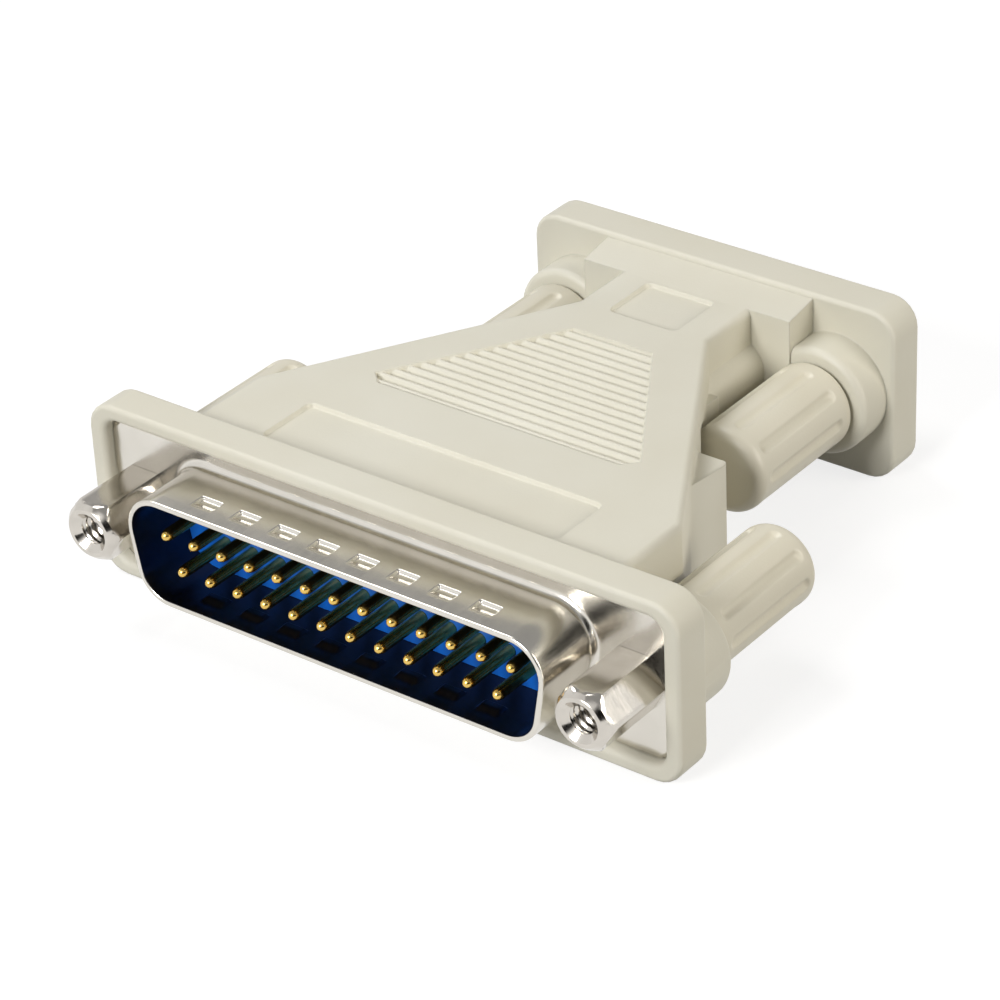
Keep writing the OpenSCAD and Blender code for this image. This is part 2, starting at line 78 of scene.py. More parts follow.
def addCamera(setup):
    a, e, o = (math.radians(setup[k]) for k in ("azimuth", "elevation", "roll"))
    right = Vector((math.cos(a), math.sin(a), 0))
    up = Vector((-math.sin(a) * math.sin(e), math.cos(a) * math.sin(e), math.cos(e)))
    back = Vector((math.sin(a) * math.cos(e), -math.cos(a) * math.cos(e), math.sin(e)))
    side = right * math.cos(o) + up * math.sin(o)
    rise = up * math.cos(o) - right * math.sin(o)
    data = bpy.data.cameras.new("photoCamera")
    data.lens = setup["lens"]
    data.sensor_width = setup["sensor"]
    data.clip_start = setup["nearest"]
    view = bpy.data.objects.new("photoCamera", data)
    turn = Matrix((side, rise, back)).transposed()
    view.matrix_world = Matrix.Translation(Vector(setup["eye"]) * mm) @ turn.to_4x4()
    scene.collection.objects.link(view)
    scene.camera = view


addCamera(cameraSetup)
print("camera set")


# finishes

noiseSpan = (0.3, 0.7)  # nearly all of a noise pattern lies between these
cloudSpan = (0.35, 0.65)
grainRelief = 0.5  # depth of the grain as a share of its size
lineRelief = 0.2  # the same for the lines in a metal


def linear(hexColour):  # sRGB hex to linear
    values = []
    for k in (0, 2, 4):
        c = int(hexColour[k:k + 2], 16) / 255
        values.append(c / 12.92 if c <= 0.04045 else ((c + 0.055) / 1.055) ** 2.4)
    return (*values, 1.0)


def addNode(tree, kind, links=None, **settings):  # links go by the input's name or number
    node = tree.nodes.new(kind)
    for name, value in settings.items():
        setattr(node, name, value)
    for name, value in (links or {}).items():
        if isinstance(value, bpy.types.NodeSocket):
            tree.links.new(value, node.inputs[name])
        else:
            node.inputs[name].default_value = value
    return node


def perMetre(sizeMm):  # texture scale for a pattern of this size
    return 1 / (sizeMm * mm)


def newFinish(name):
    finish = bpy.data.materials.new(name)
    finish.use_nodes = True
    finish.node_tree.nodes.clear()
    return finish, finish.node_tree


def twoTones(ramp, first, second, span):
    ramp.elements[0].position, ramp.elements[1].position = span
    ramp.elements[0].color, ramp.elements[1].color = linear(first), linear(second)


def mouldedPlastic(name, setup):  # cloudy colour, satin skin with the grain of an eroded mould
    finish, tree = newFinish(name)
    place = addNode(tree, "ShaderNodeTexCoord").outputs["Object"]
    cloud = addNode(tree, "ShaderNodeTexNoise",
                    {"Vector": place, "Scale": perMetre(setup["cloudMm"]), "Detail": 3.0})
    tone = addNode(tree, "ShaderNodeValToRGB", {"Fac": cloud.outputs["Fac"]})
    twoTones(tone.color_ramp, setup["colour"], setup["second"], cloudSpan)
    patch = addNode(tree, "ShaderNodeTexNoise",
                    {"Vector": place, "Scale": perMetre(setup["patchMm"]), "Detail": 2.0})
    rough = addNode(tree, "ShaderNodeMapRange",
                    {"Value": patch.outputs["Fac"], "From Min": noiseSpan[0], "From Max": noiseSpan[1],
                     "To Min": setup["roughness"][0], "To Max": setup["roughness"][1]})
    # the grain of a real mould is near 0.05 mm; it is drawn coarser, or no pixel would show it
    grain = addNode(tree, "ShaderNodeTexNoise",
                    {"Vector": place, "Scale": perMetre(setup["grainMm"]), "Detail": 2.0})
    bump = addNode(tree, "ShaderNodeBump",
                   {"Height": grain.outputs["Fac"], "Strength": setup["grain"],
                    "Distance": setup["grainMm"] * mm * grainRelief})
    if setup.get("edgeMm"):  # small radius left in every corner of the mould
        edge = addNode(tree, "ShaderNodeBevel", {"Radius": setup["edgeMm"] * mm}, samples=4)
        tree.links.new(edge.outputs["Normal"], bump.inputs["Normal"])
    skin = addNode(tree, "ShaderNodeBsdfPrincipled",
                   {"Base Color": tone.outputs["Color"], "Roughness": rough.outputs["Result"],
                    "Normal": bump.outputs["Normal"], "IOR": setup["ior"]})
    addNode(tree, "ShaderNodeOutputMaterial", {"Surface": skin.outputs["BSDF"]})
    return finish


def platedMetal(name, setup):  # drawn or turned lines under a bright plate, a little uneven in gloss
    finish, tree = newFinish(name)
    place = addNode(tree, "ShaderNodeTexCoord").outputs["Object"]
    stretch = addNode(tree, "ShaderNodeMapping", {"Vector": place, "Scale": setup["stretch"]})
    # real tool lines are about 0.03 mm apart; they are drawn coarser, or no pixel would show them
    lines = addNode(tree, "ShaderNodeTexNoise",
                    {"Vector": stretch.outputs["Vector"], "Scale": perMetre(setup["lineMm"]),
                     "Detail": 3.0, "Roughness": 0.6})
    patch = addNode(tree, "ShaderNodeTexNoise",
                    {"Vector": place, "Scale": perMetre(setup["patchMm"]), "Detail": 3.0})
    tone = addNode(tree, "ShaderNodeValToRGB", {"Fac": patch.outputs["Fac"]})
    twoTones(tone.color_ramp, setup["colour"], setup["second"], noiseSpan)
    rough = addNode(tree, "ShaderNodeMapRange",
                    {"Value": lines.outputs["Fac"], "From Min": noiseSpan[0], "From Max": noiseSpan[1],
                     "To Min": setup["roughness"][0], "To Max": setup["roughness"][1]})
    bump = addNode(tree, "ShaderNodeBump",
                   {"Height": lines.outputs["Fac"], "Strength": setup["bump"],
                    "Distance": setup["lineMm"] * mm * lineRelief})
    skin = addNode(tree, "ShaderNodeBsdfPrincipled",
                   {"Base Color": tone.outputs["Color"], "Metallic": 1.0,
                    "Roughness": rough.outputs["Result"], "Normal": bump.outputs["Normal"]})
    addNode(tree, "ShaderNodeOutputMaterial", {"Surface": skin.outputs["BSDF"]})
    return finish


# soft vinyl, injection moulded: satin, faintly cloudy, fine matt grain
vinylSetup = {"colour": "dad7c9", "second": "d6d2c2", "cloudMm": 16.0, "patchMm": 5.0,
              "roughness": (0.44, 0.54), "grainMm": 0.2, "grain": 0.10, "ior": 1.52}
hoodVinyl = mouldedPlastic("hoodVinylMoulded", {**vinylSetup, "edgeMm": 0.2})
recessVinyl = mouldedPlastic("recessVinylMoulded", vinylSetup)  # the same skin, its edges are in the mesh
# ABS, injection moulded: harder and a shade yellower than the hood, smoother skin
gripPlastic = mouldedPlastic("gripAbsMoulded", {
    "colour": "d9d4c3", "second": "d5cfbc", "cloudMm": 12.0, "patchMm": 4.0,
    "roughness": (0.36, 0.46), "grainMm": 0.22, "grain": 0.08, "ior": 1.53})
# glass-filled polyester, moulded: deep blue, satin, faint specks of fibre
insulatorBlue = mouldedPlastic("insulatorPolyesterMoulded", {
    "colour": "0667cf", "second": "065cbd", "cloudMm": 3.0, "patchMm": 1.2,
    "roughness": (0.42, 0.56), "grainMm": 0.15, "grain": 0.10, "ior": 1.48})
# drawn steel sheet with bright nickel: near mirror, faint lines along the draw
shellNickel = platedMetal("shellSteelNickelPlated", {
    "colour": "dad6ce", "second": "d1cdc4", "stretch": (1.0, 0.12, 1.0), "lineMm": 0.25,
    "patchMm": 4.0, "roughness": (0.18, 0.24), "bump": 0.008})
# inside of the same drawn skirt: the same nickel, darkened as painted shade for the shade inside the skirt,
# so it shows little but the blue
skirtInsidePaintedShade = platedMetal("skirtSteelPaintedShade", {
    "colour": "4a4a50", "second": "3e3e44", "stretch": (1.0, 0.12, 1.0), "lineMm": 0.25,
    "patchMm": 4.0, "roughness": (0.28, 0.36), "bump": 0.01})
# turned steel with nickel: bright, fine rings left by the lathe
nutNickel = platedMetal("nutSteelNickelPlated", {
    "colour": "d0cbc3", "second": "c5c0b8", "stretch": (0.15, 1.0, 0.15), "lineMm": 0.18,
    "patchMm": 2.0, "roughness": (0.12, 0.19), "bump": 0.012})
# rolled thread in plated steel: greyer and duller than the nuts
screwSteel = platedMetal("screwSteelRolled", {
    "colour": "b9b5ad", "second": "a9a59d", "stretch": (0.2, 1.0, 0.2), "lineMm": 0.2,
    "patchMm": 1.5, "roughness": (0.22, 0.34), "bump": 0.02})
# turned brass with a gold flash: warm, bright at the domed tips
contactGold = platedMetal("contactBrassGoldFlash", {
    "colour": "e6c572", "second": "d9b25c", "stretch": (0.2, 1.0, 0.2), "lineMm": 0.12,
    "patchMm": 0.8, "roughness": (0.16, 0.26), "bump": 0.015})
print("finishes made")


# mesh helpers

def spaced(low, high, steps):  # even steps, both ends included
    return [low + (high - low) * k / steps for k in range(steps + 1)]


def smoothStep(low, high, value):
    t = min(1.0, max(0.0, (value - low) / (high - low)))
    return t * t * (3 - 2 * t)


def arcPoints(centre, radius, start, end, steps):  # angles in degrees
    angles = [math.radians(a) for a in spaced(start, end, steps)]
    return [(centre[0] + radius * math.cos(a), centre[1] + radius * math.sin(a)) for a in angles]


def turnedRings(x, profile, count, radiusAt=None, place=at, hand=1, z=0.0):
    rings = []  # the profile of (radius, y) turned about a line along Y
    for radius, y in profile:
        ring = []
        for i in range(count):
            a = 2 * math.pi * i / count
            r = radius if radiusAt is None else radiusAt(radius, y, a)
            ring.append(place(x + hand * r * math.sin(a), y, z + r * math.cos(a)))
        rings.append(ring)
    return rings


def meshFrom(bm, name):
    mesh = bpy.data.meshes.new(name)
    bm.to_mesh(mesh)
    bm.free()
    return mesh


def bridge(bm, a, b, slot=0):  # band of faces between two loops
    for i in range(len(a)):
        j = (i + 1) % len(a)
        bm.faces.new((a[i], a[j], b[j], b[i])).material_index = slot


def ringMesh(name, rings):  # skin over the rings, closed at both ends
    bm = bmesh.new()
    made = [[bm.verts.new(point) for point in ring] for ring in rings]
    for a, b in zip(made, made[1:]):
        bridge(bm, a, b)
    bm.faces.new(list(reversed(made[0])))
    bm.faces.new(made[-1])
    bmesh.ops.remove_doubles(bm, verts=bm.verts, dist=1e-7)
    bmesh.ops.recalc_face_normals(bm, faces=bm.faces)
    return meshFrom(bm, name)


def shadeMesh(mesh, sharpAngle, softSlot):  # smooth faces, sharp edges; none are sharp within the soft slot
    bm = bmesh.new()
    bm.from_mesh(mesh)
    for face in bm.faces:
        face.smooth = True
    for edge in bm.edges:
        slots = {face.material_index for face in edge.link_faces}
        if softSlot in slots:
            edge.smooth = len(slots) == 1
        else:
            edge.smooth = edge.calc_face_angle(0) < math.radians(sharpAngle)
    bm.to_mesh(mesh)
    bm.free()


def addPiece(name, mesh, finish, body, replaced, sharpAngle=35, softSlot=None):
    piece = bpy.data.objects.new(name, mesh)
    scene.collection.objects.link(piece)
    mesh.materials.append(finish)
    shadeMesh(mesh, sharpAngle, softSlot)
    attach(piece, body)
    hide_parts(*replaced)
    return piece


def evenNormals(piece, weight=50):  # keeps flat faces flat beside their rounded edges
    even = piece.modifiers.new("evenNormals", "WEIGHTED_NORMAL")
    even.keep_sharp = True
    even.weight = weight


# hood: the solid's own faces with softened edges, and finer recesses on both broad sides

hoodSetup = {
    "half": 6.75,  # half the thickness of the body
    "recessDepth": 0.35,
    "deepest": 0.7,  # no recess is deeper than this
    "slack": 0.01,  # margin around a recess when its faces are chosen
    "wall": 0.18,  # run of a recess wall from the lip to the floor
    "label": (0.0, 7.5, 28.4, 6.2, 0.7),  # middle x and y, width, length, corner radius
    "tab": (0.0, 38.3, 6.7, 5.8, 0.6),
    "border": (1.0, 18),  # edge of a plain recess that has a fine mesh, and the steps across it
    "floorSteps": (16, 8),  # steps of the floor, across and along
    "ribFront": 15.9,
    "ribBack": 31.5,
    "ribFrontWidth": 25.8,
    "ribBackWidth": 7.8,
    "ribCorner": 1.2,
    "ribCount": 15,
    "ribDepth": 0.6,
    "ribCrest": 0.12,
    "ribShape": 3,  # higher makes broader crests and narrower valleys
    "ribBorder": (0.6, 12),
    "ribSteps": (24, 14),  # steps across a rib, and rows along the panel for each rib
    "sharpFrom": 38,  # degrees between two faces with a sharp edge
}


def ribReach(y, setup):  # half width of the ribbed panel at this distance
    corner, front = setup["ribCorner"], setup["ribFront"]
    wide, narrow = setup["ribFrontWidth"] / 2, setup["ribBackWidth"] / 2
    if y < front + corner:
        return wide - corner + (y - front)
    return wide - (y - front - corner) * (wide - narrow) / (setup["ribBack"] - front - corner)


def inRecess(x, y, z, setup):
    slack = setup["slack"]
    depth = setup["half"] - abs(z)
    if depth < 1e-4 or depth > setup["deepest"]:
        return False
    for key in ("label", "tab"):
        cx, cy, w, l, _ = setup[key]
        if abs(x - cx) < w / 2 + slack and abs(y - cy) < l / 2 + slack:
            return True
    if setup["ribFront"] - slack < y < setup["ribBack"] + slack:
        return abs(x) < ribReach(y, setup) + 2 * slack
    return False


def spread(reach, border, coarse):  # from -reach to reach, with close steps near both ends
    edge, fine = border
    ends = [edge * k / fine for k in range(fine)]
    middle = spaced(edge - reach, reach - edge, coarse)
    return [e - reach for e in ends] + middle + [reach - e for e in reversed(ends)]


def plainRecess(shape, setup):  # rows of (x, y, depth): flat floor, rounded corners, softened walls
    cx, cy, w, l, r = shape
    across, along = setup["floorSteps"]
    rows = []
    for y in spread(l / 2, setup["border"], along):
        row = []
        for x in spread(w / 2, setup["border"], across):
            qx, qy = abs(x) - w / 2 + r, abs(y) - l / 2 + r
            inside = r - math.hypot(max(qx, 0), max(qy, 0)) - min(max(qx, qy), 0)
            row.append((cx + x, cy + y, setup["recessDepth"] * smoothStep(0.0, setup["wall"], inside)))
        rows.append(row)
    return rows


def ribbedRecess(setup):  # rows of (x, y, depth): rounded ribs that die away into a soft border
    y0, y1 = setup["ribFront"], setup["ribBack"]
    across, perRib = setup["ribSteps"]
    tilt = math.hypot(1, ribReach(y1 - 1, setup) - ribReach(y1, setup))
    gap = (y1 - y0) / setup["ribCount"]
    rows = []
    for k in range(setup["ribCount"] * perRib + 1):
        t = k / perRib
        y = y0 + gap * t
        reach = ribReach(y, setup)
        wave = abs(math.cos(math.pi * t)) ** setup["ribShape"]
        floor = setup["ribCrest"] + (setup["ribDepth"] - setup["ribCrest"]) * wave
        row = []
        for x in spread(reach, setup["ribBorder"], across):
            inside = min((reach - abs(x)) / tilt, y - y0, y1 - y)
            row.append((x, y, floor * smoothStep(0.0, setup["wall"], inside)))
        rows.append(row)
    return rows


def gridFaces(bm, rows, side, setup):  # side is 1 for the top and -1 for the underside
    made = [[bm.verts.new(at(x, y, side * (setup["half"] - depth))) for x, y, depth in row] for row in rows]
    faces = []
    for a, b in zip(made, made[1:]):
        for i in range(len(a) - 1):
            quad = (a[i], a[i + 1], b[i + 1], b[i])
            faces.append(bm.faces.new(quad if side > 0 else tuple(reversed(quad))))
    return faces


def addRecesses(bm, side, setup):  # the broad side is filled again around three finer recesses
    level = at(0, 0, side * setup["half"]).z
    flat = {face for face in bm.faces if all(abs(v.co.z - level) < weldGap for v in face.verts)}
    borders = [edge for edge in bm.edges
               if len(edge.link_faces) == 2 and sum(face in flat for face in edge.link_faces) == 1]
    bmesh.ops.delete(bm, geom=list(flat), context="FACES")
    recesses = (plainRecess(setup["label"], setup), plainRecess(setup["tab"], setup), ribbedRecess(setup))
    for rows in recesses:
        patch = gridFaces(bm, rows, side, setup)
        for face in patch:
            face.material_index = 1
        borders += [edge for face in patch for edge in face.edges if len(edge.link_faces) == 1]
    filled = bmesh.ops.triangle_fill(bm, edges=borders, use_beauty=True, use_dissolve=False)
    for face in filled["geom"]:
        if isinstance(face, bmesh.types.BMFace):
            face.normal_update()
            if face.normal.z * side < 0:
                face.normal_flip()


# rounding left by the mould, and the edges that have it, chosen by |x|, y and |z|
softEdges = {
    "plug pocket": (0.55, lambda x, y, z: abs(y) < 0.01 and x < 26.8 and z < 6.5),
    "socket pocket": (0.22, lambda x, y, z: abs(y - hoodLength) < 0.01 and x < 15.7 and z < 6.5),
    "step blocks": (0.22, lambda x, y, z: 12.5 < y < 23.85 and x < 16.25 and z < 4.65
                    and (x > 16.15 or z > 4.55)),
}


def buildHood(setup):
    bm = bmesh.new()
    bm.from_mesh(cadNodes["moulded_hood"].data)
    bmesh.ops.remove_doubles(bm, verts=bm.verts, dist=weldGap)
    gone = []
    for face in bm.faces:
        c = face.calc_center_median() / mm
        if inRecess(c.x, c.y - faceY, c.z - axisZ, setup):
            gone.append(face)
    bmesh.ops.delete(bm, geom=gone, context="FACES")
    bmesh.ops.dissolve_limit(bm, angle_limit=math.radians(0.5), verts=bm.verts, edges=bm.edges)
    print("hood faces to replace:", len(gone))
    for group, (rounding, choose) in softEdges.items():
        picked = []
        for edge in bm.edges:
            if len(edge.link_faces) != 2 or edge.calc_face_angle(0) < math.radians(setup["sharpFrom"]):
                continue
            ends = [(v.co.x / mm, v.co.y / mm - faceY, v.co.z / mm - axisZ) for v in edge.verts]
            if all(choose(abs(x), y, abs(z)) for x, y, z in ends):
                picked.append(edge)
        print("softened", group, len(picked), "edges")
        bmesh.ops.bevel(bm, geom=picked, offset=rounding * mm, offset_type="OFFSET",
                        segments=4, profile=0.5, affect="EDGES", clamp_overlap=True)
    for side in (1, -1):
        addRecesses(bm, side, setup)
    mesh = meshFrom(bm, "hoodMoulding")
    piece = addPiece("hoodMoulding", mesh, hoodVinyl, "adapter", ["moulded_hood"],
                     sharpAngle=40, softSlot=1)
    mesh.materials.append(recessVinyl)
    evenNormals(piece, weight=60)


buildHood(hoodSetup)
print("hood made")


# metal shells

sheetSetup = {
    "plateHeight": 12.55, "plateCorner": 1.2, "holeRadius": 1.55, "recess": 0.95, "sheet": 0.45,
    "slope": 10.0,  # degrees that the sides of the D lean
    "rimOutside": 0.2, "rimInside": 0.12,  # rounding of the rim
    "lip": 0.08,  # broken edge of the plate and of its holes
    "cornerSteps": 10, "plateSteps": 8, "holeSteps": 24,
}
plugShell = {
    **sheetSetup, "plateWidth": 53.04, "holes": screwGap["plug"], "width": 38.96, "height": 8.36,
    "corner": 2.6, "reach": 6.2, "root": 0.7, "marks": 8, "markPitch": 3.8088, "markAt": 4.05,
    "markDepth": 0.24,
    "markEnd": (0.8, 1.12),  # its end walls, counted along from the middle of a dimple
    "markBack": (-0.78, -0.5),  # its steep wall on the plate's side
    "markFade": (-0.1, 0.85),  # its slope towards the rim
}
socketShell = {
    **sheetSetup, "plateWidth": 30.81, "holes": screwGap["socket"], "width": 15.43, "height": 7.0,
    "corner": 1.95, "reach": 6.1, "root": 0.45, "marks": 0,
}


def dOutline(setup, offset, stops):  # wide side up; stops are the x of the points along both long sides
    w, h, r = (setup[k] + n * offset for k, n in (("width", 2), ("height", 2), ("corner", 1)))
    slope, steps = setup["slope"], setup["cornerSteps"]
    s = (h - 2 * r) * math.tan(math.radians(slope))
    arcs = [arcPoints((w / 2 - r, h / 2 - r), r, -slope, 90, steps),
            arcPoints((r - w / 2, h / 2 - r), r, 90, 180 + slope, steps),
            arcPoints((r + s - w / 2, r - h / 2), r, 180 + slope, 270, steps),
            arcPoints((w / 2 - r - s, r - h / 2), r, 270, 360 - slope, steps)]
    points = []
    for k, arc in enumerate(arcs):
        points.extend(arc)
        start, end = Vector(arc[-1]), Vector(arcs[(k + 1) % 4][0])
        if k == 0:
            points.extend((x, h / 2) for x in reversed(stops))
        elif k == 2:
            points.extend((x, -h / 2) for x in stops)
        else:
            points.extend(tuple(start.lerp(end, i / 4)) for i in range(1, 4))
    return points


def markMiddle(k, setup):
    return (k - (setup["marks"] - 1) / 2) * setup["markPitch"]


def markStops(setup):  # close steps only where a dimple's end walls are steep
    if not setup["marks"]:
        return [-2.0, 0.0, 2.0]
    near, far = setup["markEnd"]
    wall = spaced(near - 0.04, far + 0.04, 10)
    steps = [-near / 2, 0.0, near / 2] + wall + [-d for d in wall]
    return sorted(markMiddle(k, setup) + d for k in range(setup["marks"]) for d in steps)


def pressedMark(x, y, setup):  # steep at the back and the ends, fading to the rim
    if not setup["marks"]:
        return 0.0
    k = round(x / setup["markPitch"] + (setup["marks"] - 1) / 2)
    if k < 0 or k >= setup["marks"]:
        return 0.0
    toRim = y - setup["markAt"]
    along = 1 - smoothStep(*setup["markEnd"], abs(x - markMiddle(k, setup)))
    across = smoothStep(*setup["markBack"], toRim) * (1 - smoothStep(*setup["markFade"], toRim))
    return setup["markDepth"] * along * across


def shellRing(setup, offset, y, stops):
    ring = []
    for x, z in dOutline(setup, offset, stops):
        if abs(z) > setup["height"] / 2 + offset - 1e-4:
            z -= math.copysign(pressedMark(x, setup["recess"] - y, setup), z)
        ring.append((x, y, z))
    return ring


def skirtPath(setup):  # (offset from the inside, y) from the plate over the rim to the back
    t, root = setup["sheet"], setup["root"]
    plate, rim = setup["recess"], setup["recess"] - setup["reach"]
    outside, inside = setup["rimOutside"], setup["rimInside"]
    path = [(t + root + 0.3, plate), (t + root + 0.1, plate)]
    path += arcPoints((t + root, plate - root), root, 90, 180, 8)
    along = [plate - root - 0.5]
    if setup["marks"]:
        back, fade = setup["markBack"], setup["markFade"]
        rows = [back[0] - 0.17] + spaced(back[0] - 0.06, back[1] + 0.06, 12)
        rows += spaced(fade[0] - 0.2, fade[1] + 0.15, 10)
        along += [plate - setup["markAt"] - row for row in rows]
    along = [y for y in along if y > rim + 0.3]
    path += [(t, y) for y in along]
    path += arcPoints((t - outside, rim + outside), outside, 0, -90, 5)
    path += arcPoints((inside, rim + inside), inside, -90, -180, 3)
    path += [(0.0, y) for y in reversed(along)]
    path += [(0.0, plate), (0.0, plate + t)]
    return path


def roundedPlate(setup, inset):
    w, h = setup["plateWidth"] / 2 - inset, setup["plateHeight"] / 2 - inset
    r, steps = setup["plateCorner"] - inset, setup["plateSteps"]
    return (arcPoints((w - r, h - r), r, 0, 90, steps) + arcPoints((r - w, h - r), r, 90, 180, steps)
            + arcPoints((r - w, r - h), r, 180, 270, steps) + arcPoints((w - r, r - h), r, 270, 360, steps))


def holeEdge(setup, side, grow):
    centre = (side * setup["holes"] / 2, 0)
    return arcPoints(centre, setup["holeRadius"] + grow, 0, 360, setup["holeSteps"])[:-1]


def loopEdges(bm, verts):
    found = []
    for pair in zip(verts, verts[1:] + verts[:1]):
        found.append(bm.edges.get(pair) or bm.edges.new(pair))
    return found


def buildShell(name, setup, node, place):
    stops = markStops(setup)
    path = skirtPath(setup)
    bm = bmesh.new()
    rings = [[bm.verts.new(place(*p)) for p in shellRing(setup, o, y, stops)] for o, y in path]
    for k, (a, b) in enumerate(zip(rings, rings[1:])):
        # faces on the inside of the skirt take the second finish, the nickel darkened as painted shade
        inside = max(path[k][0], path[k + 1][0]) < 0.05
        bridge(bm, a, b, int(inside))
    front, back, soft = setup["recess"], setup["recess"] + setup["sheet"], setup["lip"]
    frontLoops, backLoops = [rings[0]], [rings[-1]]
    for edgePoints in (lambda grow: roundedPlate(setup, grow),
                       lambda grow: holeEdge(setup, -1, grow),
                       lambda grow: holeEdge(setup, 1, grow)):
        levels = ((soft, front), (0, front + soft), (0, back))
        lip, wall, low = [[bm.verts.new(place(x, y, z)) for x, z in edgePoints(grow)] for grow, y in levels]
        bridge(bm, lip, wall)
        bridge(bm, wall, low)
        frontLoops.append(lip)
        backLoops.append(low)
    for loops in (frontLoops, backLoops):
        edges = [edge for verts in loops for edge in loopEdges(bm, verts)]
        bmesh.ops.triangle_fill(bm, edges=edges, use_beauty=True, use_dissolve=False)
    bmesh.ops.recalc_face_normals(bm, faces=bm.faces)
    mesh = meshFrom(bm, name)
    piece = addPiece(name, mesh, shellNickel, "adapter", [node], sharpAngle=50)
    # second finish: painted shade on the inside of the skirt
    mesh.materials.append(skirtInsidePaintedShade)
    evenNormals(piece, weight=80)


buildShell("plugShellDrawn", plugShell, "plug_front_shell", at)
buildShell("socketShellDrawn", socketShell, "socket_front_shell", atSocket)
print("shells made")


# pins

pinSetup = {"pitch": 2.76, "rows": 2.84, "radius": 0.51, "tip": -4.95, "dome": 0.75,
            "tipFlat": 0.002, "shoulder": 1.85, "bodyRadius": 0.8, "cup": 6.05, "cupRadius": 0.95,
            "cupEdge": 0.1, "end": 9.45, "boreRadius": 0.46, "bore": 6.85, "around": 28}


def contactSpot(number, topCount):  # x and z, counted along the top row and then along the lower one
    if number <= topCount:
        return (number - (topCount + 1) / 2) * pinSetup["pitch"], pinSetup["rows"] / 2
    return (number - topCount * 1.5) * pinSetup["pitch"], -pinSetup["rows"] / 2


def buildPins(setup):
    s = setup
    profile = [(s["radius"] * math.sin(a) + s["tipFlat"], s["tip"] + s["dome"] * (1 - math.cos(a)))
               for a in spaced(0, math.pi / 2, 8)]
    profile += [(s["radius"], s["shoulder"]), (s["bodyRadius"], s["shoulder"]),
                (s["bodyRadius"], s["cup"]), (s["cupRadius"] - s["cupEdge"], s["cup"]),
                (s["cupRadius"], s["cup"] + s["cupEdge"]), (s["cupRadius"], s["end"]),
                (s["boreRadius"], s["end"]), (s["boreRadius"], s["bore"])]
    for number in range(1, 26):
        x, z = contactSpot(number, topRow["plug"])
        mesh = ringMesh(f"pinGold{number}", turnedRings(x, profile, s["around"], z=z))
        addPiece(f"pinGold{number}", mesh, contactGold, "adapter", [f"plug_pin_{number}"])


buildPins(pinSetup)
print("pins made")


# hex nuts

nutSetup = {
    "flats": 4.8, "front": -5.96, "back": 0.93, "tipRadius": 2.1, "tipRound": 0.16,
    # the turned front, as steps out from the flats and back from the front
    "chamfer": [(0.0, 0.38), (0.18, 0.62), (0.34, 0.86), (0.5, 1.15), (0.6, 1.5)],
    "corner": 1.135,  # reach of the broken corners, against half the flats
    "tapRadius": 1.15, "mouth": 0.5, "mouthDepth": 0.5, "tapDepth": 3.2,
    "mouthEdge": (0.06, 0.05), "tapEdge": (0.06, 0.04), "tapFade": (-0.02, 0.3),
    "threadPitch": 0.635, "threadDepth": 0.24, "seatRadius": 1.44, "seat": -2.27,
    "around": 72, "tapRows": 56,
}


def threadWave(y, angle, pitch):  # 0 on the crest and 1 in the root of a right-hand thread
    phase = (y / pitch - angle / (2 * math.pi)) % 1.0
    return smoothStep(0.12, 0.88, abs(2 * phase - 1))


def buildNut(side, name):
    s = nutSetup
    half, front, back = s["flats"] / 2, s["front"], s["back"]
    x = side * screwGap["plug"] / 2
    start, end = front + s["mouthDepth"], front + s["tapDepth"]
    mouth = s["tapRadius"] + s["mouth"]

    def hexRadius(radius, y, angle):
        a = (angle + math.pi / 6) % (math.pi / 3) - math.pi / 6  # flats face up and down
        return min(radius, half / math.cos(a), half * s["corner"])

    def tapped(radius, y, angle):
        fade = smoothStep(start + s["tapFade"][0], start + s["tapFade"][1], y)
        return radius + s["threadDepth"] * threadWave(y, angle, s["threadPitch"]) * fade

    outer = arcPoints((s["tipRadius"] - 0.12, front + s["tipRound"]), s["tipRound"], -90, -35, 3)
    outer += [(half + out, front + along) for out, along in s["chamfer"]]
    outer += [(half + 0.6, back - 0.1), (half + 0.4, back)]
    inner = [(mouth + s["mouthEdge"][0], front), (mouth, front + s["mouthEdge"][1]),
             (s["tapRadius"] + s["tapEdge"][0], start - s["tapEdge"][1])]
    bore = [(s["tapRadius"], y) for y in spaced(start, end, s["tapRows"])]
    rings = turnedRings(x, [(s["seatRadius"], s["seat"]), (s["seatRadius"], back)], s["around"])
    rings += turnedRings(x, list(reversed(outer)), s["around"], hexRadius)
    rings += turnedRings(x, inner, s["around"])
    rings += turnedRings(x, bore, s["around"], tapped)
    return ringMesh(name, rings)


for side, hand in ((-1, "left"), (1, "right")):
    nutName = f"nutHex{hand.title()}"
    addPiece(nutName, buildNut(side, nutName), nutNickel, f"plug_{hand}_thumbscrew",
             [f"plug_{hand}_nut"], sharpAngle=28)
print("nuts made")


# thumbscrew grips

gripSetup = {
    "plug": {"start": 7.05, "radius": 3.45, "place": at},
    "socket": {"start": 7.35, "radius": 3.75, "place": atSocket},
    "length": 13.2, "bossFlat": 0.42, "bossRound": 0.35,
    "round": 1.0,  # at the free end
    "grooves": 9, "grooveRadius": 0.6, "grooveDepth": 0.28, "grooveEnd": 1.9,
    "grooveReach": 0.9,  # nothing is cut further from a groove's middle line
    "grooveBlend": 0.0012,  # square millimetres, softens the lips of the grooves
    "closeStep": 0.12, "closeRows": 14, "middleRows": 12,  # rows at the grooves' ends and between them
    "aroundGroove": 22,
}


